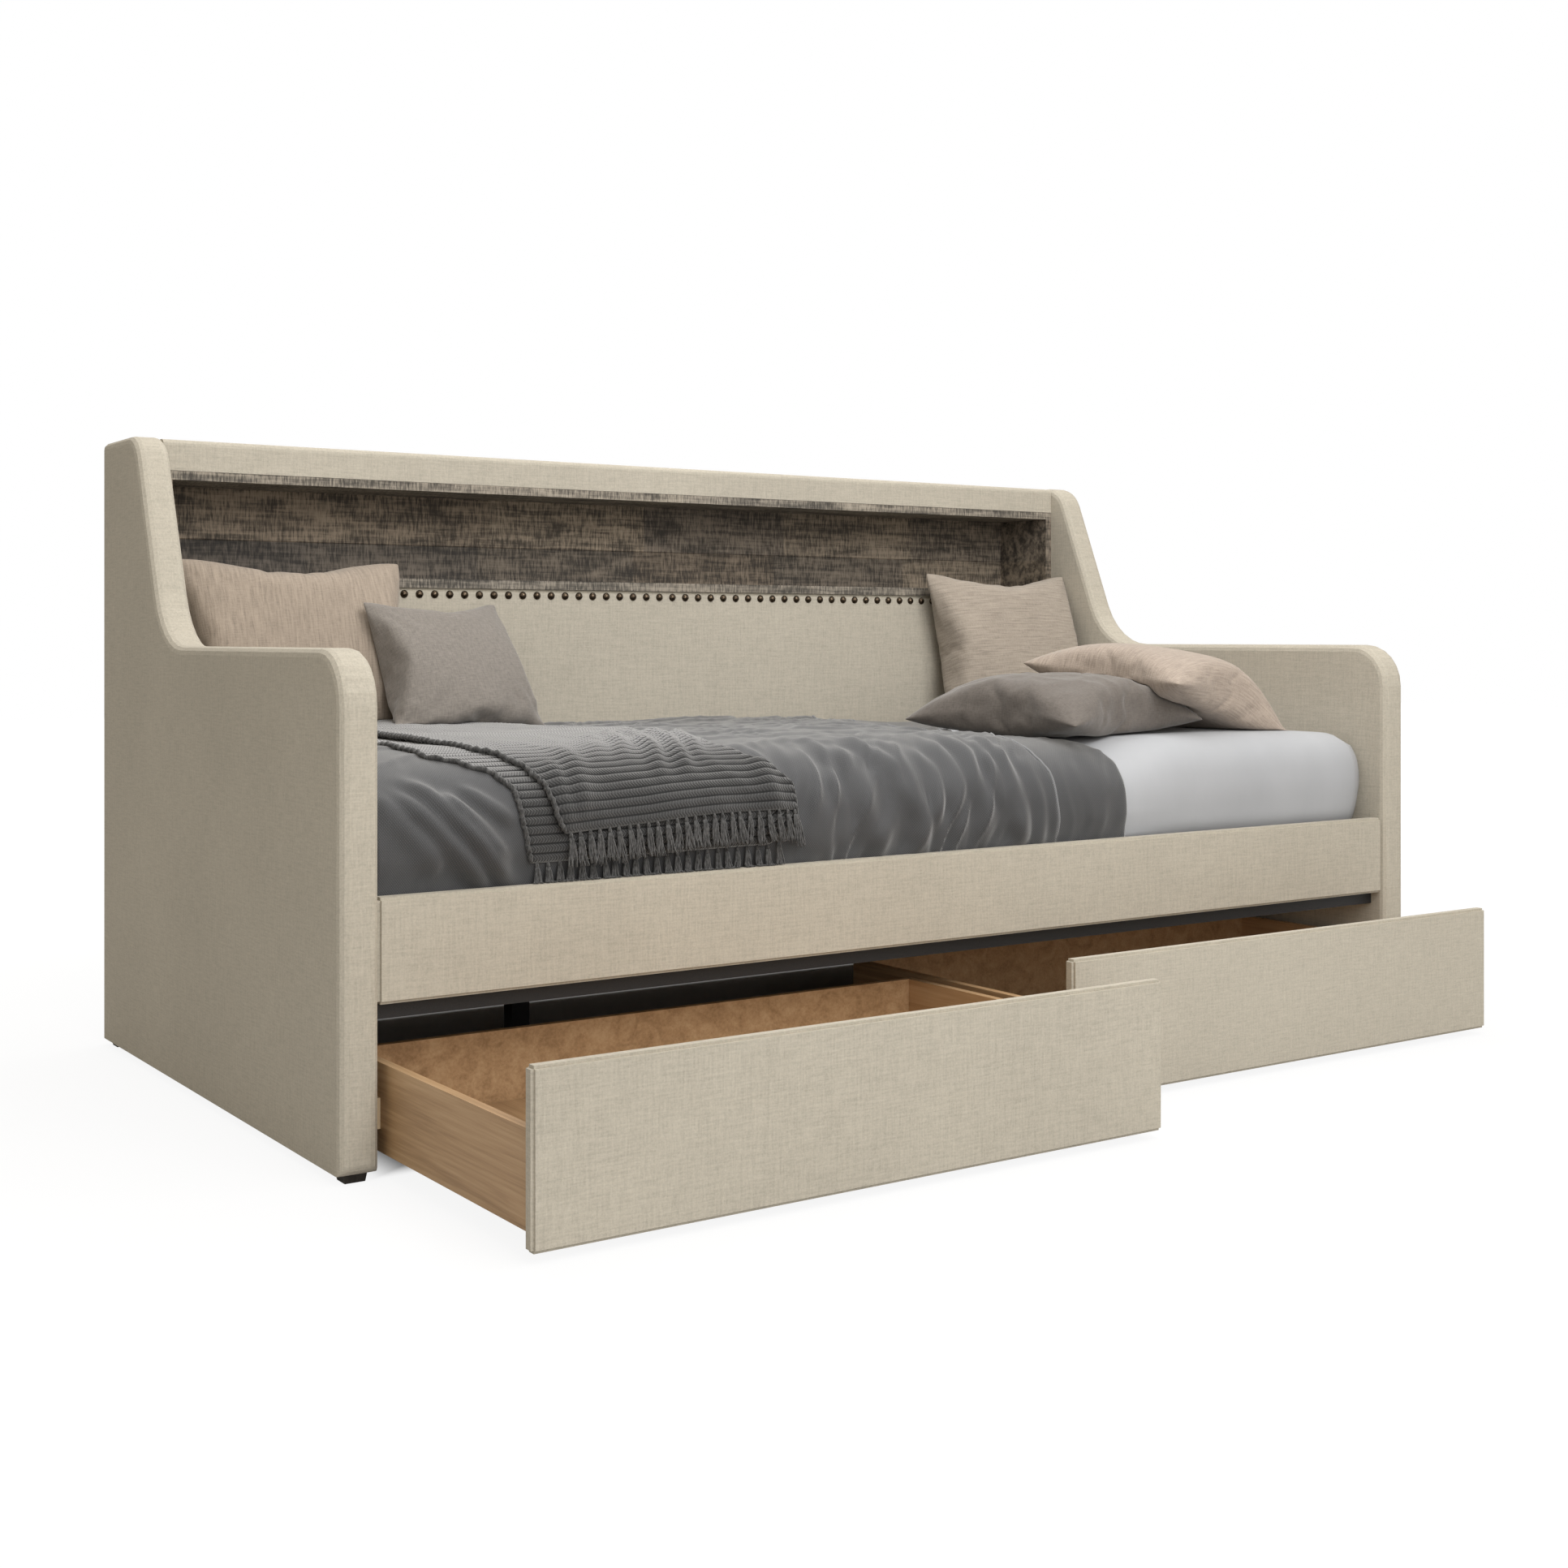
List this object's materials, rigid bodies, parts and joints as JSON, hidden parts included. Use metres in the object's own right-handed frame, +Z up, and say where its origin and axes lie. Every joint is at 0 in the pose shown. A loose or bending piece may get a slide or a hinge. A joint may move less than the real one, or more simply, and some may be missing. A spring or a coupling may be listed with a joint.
{
  "type": "storage daybed",
  "caption": "Upholstered daybed with a shelf niche in its back, nail-head trim, a made-up mattress and rolling drawers under the front rail.",
  "frame": {"origin": "on the floor, at the middle of the footprint with the drawers pulled out as at rest", "axes": "+X along the bed's length to its right-hand arm, +Y from the front to the back, +Z up"},
  "size_m": [2.036, 1.535, 1.025],
  "materials": {
    "linen_fabric": "matte",
    "rustic_wood": "matte",
    "drawer_oak": "satin",
    "frame_wood": "matte",
    "black_steel": "satin",
    "black_plastic": "matte",
    "antique_bronze": "satin",
    "white_sheet": "matte",
    "grey_duvet": "matte",
    "grey_throw": "matte",
    "blush_slub": "matte",
    "cream_slub": "matte",
    "grey_weave": "matte",
    "charcoal_weave": "matte",
    "blush_weave": "matte"
  },
  "bodies": {
    "daybed_frame": {"arm_left_cover": "linen_fabric", "arm_left_panel": "frame_wood", "arm_right_cover": "linen_fabric", "arm_right_panel": "frame_wood", "back_bottom_board": "frame_wood", "back_lower_pad": "linen_fabric", "back_post_centre": "frame_wood", "back_post_left": "frame_wood", "back_post_right": "frame_wood", "back_top_rail": "linen_fabric", "centre_beam": "black_steel", "centre_leg_left": "black_steel", "centre_leg_right": "black_steel", "cushion_blush_back": "blush_slub", "cushion_blush_tilted": "blush_weave", "cushion_cream_back": "cream_slub", "cushion_grey_flat": "charcoal_weave", "cushion_grey_front": "grey_weave", "drawer_guide_left": "frame_wood", "drawer_guide_right": "frame_wood", "duvet": "grey_duvet", "foot_front_left": "black_plastic", "foot_front_right": "black_plastic", "foot_rear_left": "black_plastic", "foot_rear_right": "black_plastic", "front_ledger": "black_steel", "front_rail": "linen_fabric", "mattress": "white_sheet", "nail_trim": "antique_bronze", "niche_back_panel": "rustic_wood", "niche_shelf_board": "rustic_wood", "niche_side_left": "rustic_wood", "niche_side_right": "rustic_wood", "niche_top_board": "rustic_wood", "rear_cover": "linen_fabric", "rear_ledger": "black_steel", "slat_roll": "frame_wood", "throw": "grey_throw"},
    "drawer_left": {"drawer_left_front": "linen_fabric", "drawer_left_side_left": "drawer_oak", "drawer_left_side_right": "drawer_oak", "drawer_left_rear": "drawer_oak", "drawer_left_floor": "drawer_oak", "drawer_left_runner_left": "frame_wood", "drawer_left_runner_right": "frame_wood"},
    "drawer_right": {"drawer_right_front": "linen_fabric", "drawer_right_side_left": "drawer_oak", "drawer_right_side_right": "drawer_oak", "drawer_right_rear": "drawer_oak", "drawer_right_floor": "drawer_oak", "drawer_right_runner_left": "frame_wood", "drawer_right_runner_right": "frame_wood"},
    "roller_left_front_left": {"roller_left_front_left": "black_plastic"},
    "roller_left_front_right": {"roller_left_front_right": "black_plastic"},
    "roller_left_rear_left": {"roller_left_rear_left": "black_plastic"},
    "roller_left_rear_right": {"roller_left_rear_right": "black_plastic"},
    "roller_right_front_left": {"roller_right_front_left": "black_plastic"},
    "roller_right_front_right": {"roller_right_front_right": "black_plastic"},
    "roller_right_rear_left": {"roller_right_rear_left": "black_plastic"},
    "roller_right_rear_right": {"roller_right_rear_right": "black_plastic"}
  },
  "joints": [
    {"name": "drawer_left_slide", "type": "slide", "parent": "daybed_frame", "child": "drawer_left", "axis": [0, -1, 0], "range_m": [-0.432, 0.038]},
    {"name": "drawer_right_slide", "type": "slide", "parent": "daybed_frame", "child": "drawer_right", "axis": [0, -1, 0], "range_m": [-0.234, 0.236]},
    {"name": "roller_left_front_left_spin", "type": "hinge", "parent": "drawer_left", "child": "roller_left_front_left", "pos_m": [-0.815, -0.6772, 0.0128], "axis": [1, 0, 0], "continuous": true},
    {"name": "roller_left_front_right_spin", "type": "hinge", "parent": "drawer_left", "child": "roller_left_front_right", "pos_m": [-0.15, -0.6772, 0.0128], "axis": [1, 0, 0], "continuous": true},
    {"name": "roller_left_rear_left_spin", "type": "hinge", "parent": "drawer_left", "child": "roller_left_rear_left", "pos_m": [-0.815, -0.276, 0.0128], "axis": [1, 0, 0], "continuous": true},
    {"name": "roller_left_rear_right_spin", "type": "hinge", "parent": "drawer_left", "child": "roller_left_rear_right", "pos_m": [-0.15, -0.276, 0.0128], "axis": [1, 0, 0], "continuous": true},
    {"name": "roller_right_front_left_spin", "type": "hinge", "parent": "drawer_right", "child": "roller_right_front_left", "pos_m": [0.15, -0.4792, 0.0128], "axis": [1, 0, 0], "continuous": true},
    {"name": "roller_right_front_right_spin", "type": "hinge", "parent": "drawer_right", "child": "roller_right_front_right", "pos_m": [0.815, -0.4792, 0.0128], "axis": [1, 0, 0], "continuous": true},
    {"name": "roller_right_rear_left_spin", "type": "hinge", "parent": "drawer_right", "child": "roller_right_rear_left", "pos_m": [0.15, -0.078, 0.0128], "axis": [1, 0, 0], "continuous": true},
    {"name": "roller_right_rear_right_spin", "type": "hinge", "parent": "drawer_right", "child": "roller_right_rear_right", "pos_m": [0.815, -0.078, 0.0128], "axis": [1, 0, 0], "continuous": true}
  ],
  "couplings": [
    {"joint": "roller_left_front_left_spin", "follows": "drawer_left_slide", "rad_per_m": 80},
    {"joint": "roller_left_front_right_spin", "follows": "drawer_left_slide", "rad_per_m": 80},
    {"joint": "roller_left_rear_left_spin", "follows": "drawer_left_slide", "rad_per_m": 80},
    {"joint": "roller_left_rear_right_spin", "follows": "drawer_left_slide", "rad_per_m": 80},
    {"joint": "roller_right_front_left_spin", "follows": "drawer_right_slide", "rad_per_m": 80},
    {"joint": "roller_right_front_right_spin", "follows": "drawer_right_slide", "rad_per_m": 80},
    {"joint": "roller_right_rear_left_spin", "follows": "drawer_right_slide", "rad_per_m": 80},
    {"joint": "roller_right_rear_right_spin", "follows": "drawer_right_slide", "rad_per_m": 80}
  ]
}
